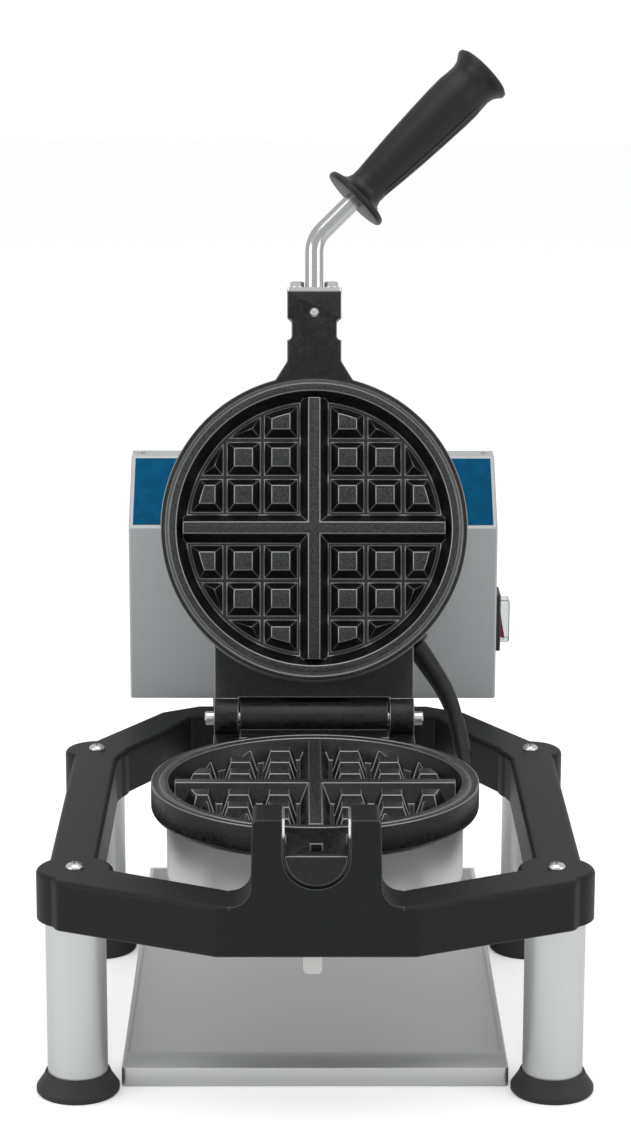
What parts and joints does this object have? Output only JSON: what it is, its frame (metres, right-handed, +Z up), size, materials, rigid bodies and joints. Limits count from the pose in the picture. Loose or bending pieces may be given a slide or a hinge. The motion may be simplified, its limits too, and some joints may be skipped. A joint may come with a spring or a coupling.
{
  "type": "waffle maker",
  "caption": "Rotary Belgian waffle maker: hinged round cast irons on a turning axis, tubular legs, steel control box with a sloped blue panel, bent handle and a pull-out drip tray",
  "frame": {"origin": "middle of the footprint on the counter", "axes": "+Z up, -Y towards the user, +X to the user's right"},
  "size_m": [0.3388, 0.5096, 0.5962],
  "materials": {
    "cast_iron": "seasoned, matt with a fine cast grain",
    "frame_paint": "matt black paint on cast aluminium",
    "stainless": "satin",
    "bright_steel": "zinc plated",
    "bronze": "machined",
    "rubber": "matt",
    "grip_black": "moulded thermoset",
    "blue_panel": "printed polycarbonate sheet",
    "clear": "clear",
    "red_plastic": "smooth",
    "grey_plastic": "smooth",
    "pale_plastic": "moulded",
    "board_green": "glass fibre board",
    "fibre": "pressed mineral fibre"
  },
  "bodies": {
    "frame": {"frame_ring": "frame_paint", "cradle_liner": "bright_steel", "leg_front_left": "stainless", "leg_front_right": "stainless", "leg_rear_left": "stainless", "leg_rear_right": "stainless", "foot_front_left": "rubber", "foot_front_right": "rubber", "foot_rear_left": "rubber", "foot_rear_right": "rubber", "frame_screws": "bright_steel", "leg_inserts": "bright_steel", "rear_bush": "bronze", "bearing_cap": "frame_paint", "cap_screws": "bright_steel", "turn_stop_tab": "bright_steel", "stop_screw": "bright_steel", "box_bracket": "bright_steel", "bracket_screws": "bright_steel", "box_shell": "stainless", "box_back": "stainless", "back_screws": "bright_steel", "panel_label": "blue_panel", "panel_screws": "bright_steel", "display_window": "clear", "indicator_lamps": "red_plastic", "timer_board": "board_green", "power_relay": "grip_black", "terminal_block": "pale_plastic", "cable_gland": "grip_black", "switch_bezel": "grip_black", "switch_cover": "clear"},
    "roll": {"lower_iron": "cast_iron", "lower_drum": "stainless", "lower_heater": "bright_steel", "lower_insulation": "fibre", "lower_drum_nut": "bright_steel", "lower_hose_gland": "bright_steel", "thermostat_probe": "bright_steel", "hinge_pin": "bright_steel", "rear_shaft": "bright_steel", "shaft_collar": "bright_steel", "lead_hose": "rubber"},
    "lid": {"upper_iron": "cast_iron", "upper_drum": "stainless", "upper_heater": "bright_steel", "upper_insulation": "fibre", "upper_drum_nut": "bright_steel", "upper_hose_gland": "bright_steel", "neck_end_plate": "bright_steel", "neck_bolts": "bright_steel", "roll_pin": "bright_steel", "handle_tube": "bright_steel", "handle_grip": "grip_black"},
    "tray": {"drip_tray": "stainless"},
    "rocker": {"switch_rocker": "red_plastic"},
    "start_button_body": {"start_button": "grey_plastic"},
    "plus_button_body": {"plus_button": "grey_plastic"},
    "minus_button_body": {"minus_button": "grey_plastic"}
  },
  "joints": [
    {"name": "iron_roll", "type": "hinge", "parent": "frame", "child": "roll", "pos_m": [0, -0.10505, 0.1699], "axis": [0, 1, 0], "range_deg": [-45, 45]},
    {"name": "lid_hinge", "type": "hinge", "parent": "roll", "child": "lid", "pos_m": [0, 0.01925, 0.1733], "axis": [1, 0, 0], "range_deg": [0, 106.9], "deforming": ["lead_hose"]},
    {"name": "tray_slide", "type": "slide", "parent": "frame", "child": "tray", "axis": [0, -1, 0], "range_m": [0, 0.25]},
    {"name": "rocker_tilt", "type": "hinge", "parent": "frame", "child": "rocker", "pos_m": [0.1295, 0.19125, 0.197], "axis": [0, 1, 0], "range_deg": [0, 18]},
    {"name": "start_press", "type": "slide", "parent": "frame", "child": "start_button_body", "axis": [0, 0.6387, -0.7695], "range_m": [0, 0.0015], "stiffness_N_per_m": 300, "springref_m": -0.002},
    {"name": "plus_press", "type": "slide", "parent": "frame", "child": "plus_button_body", "axis": [0, 0.6387, -0.7695], "range_m": [0, 0.0015], "stiffness_N_per_m": 300, "springref_m": -0.002},
    {"name": "minus_press", "type": "slide", "parent": "frame", "child": "minus_button_body", "axis": [0, 0.6387, -0.7695], "range_m": [0, 0.0015], "stiffness_N_per_m": 300, "springref_m": -0.002}
  ]
}
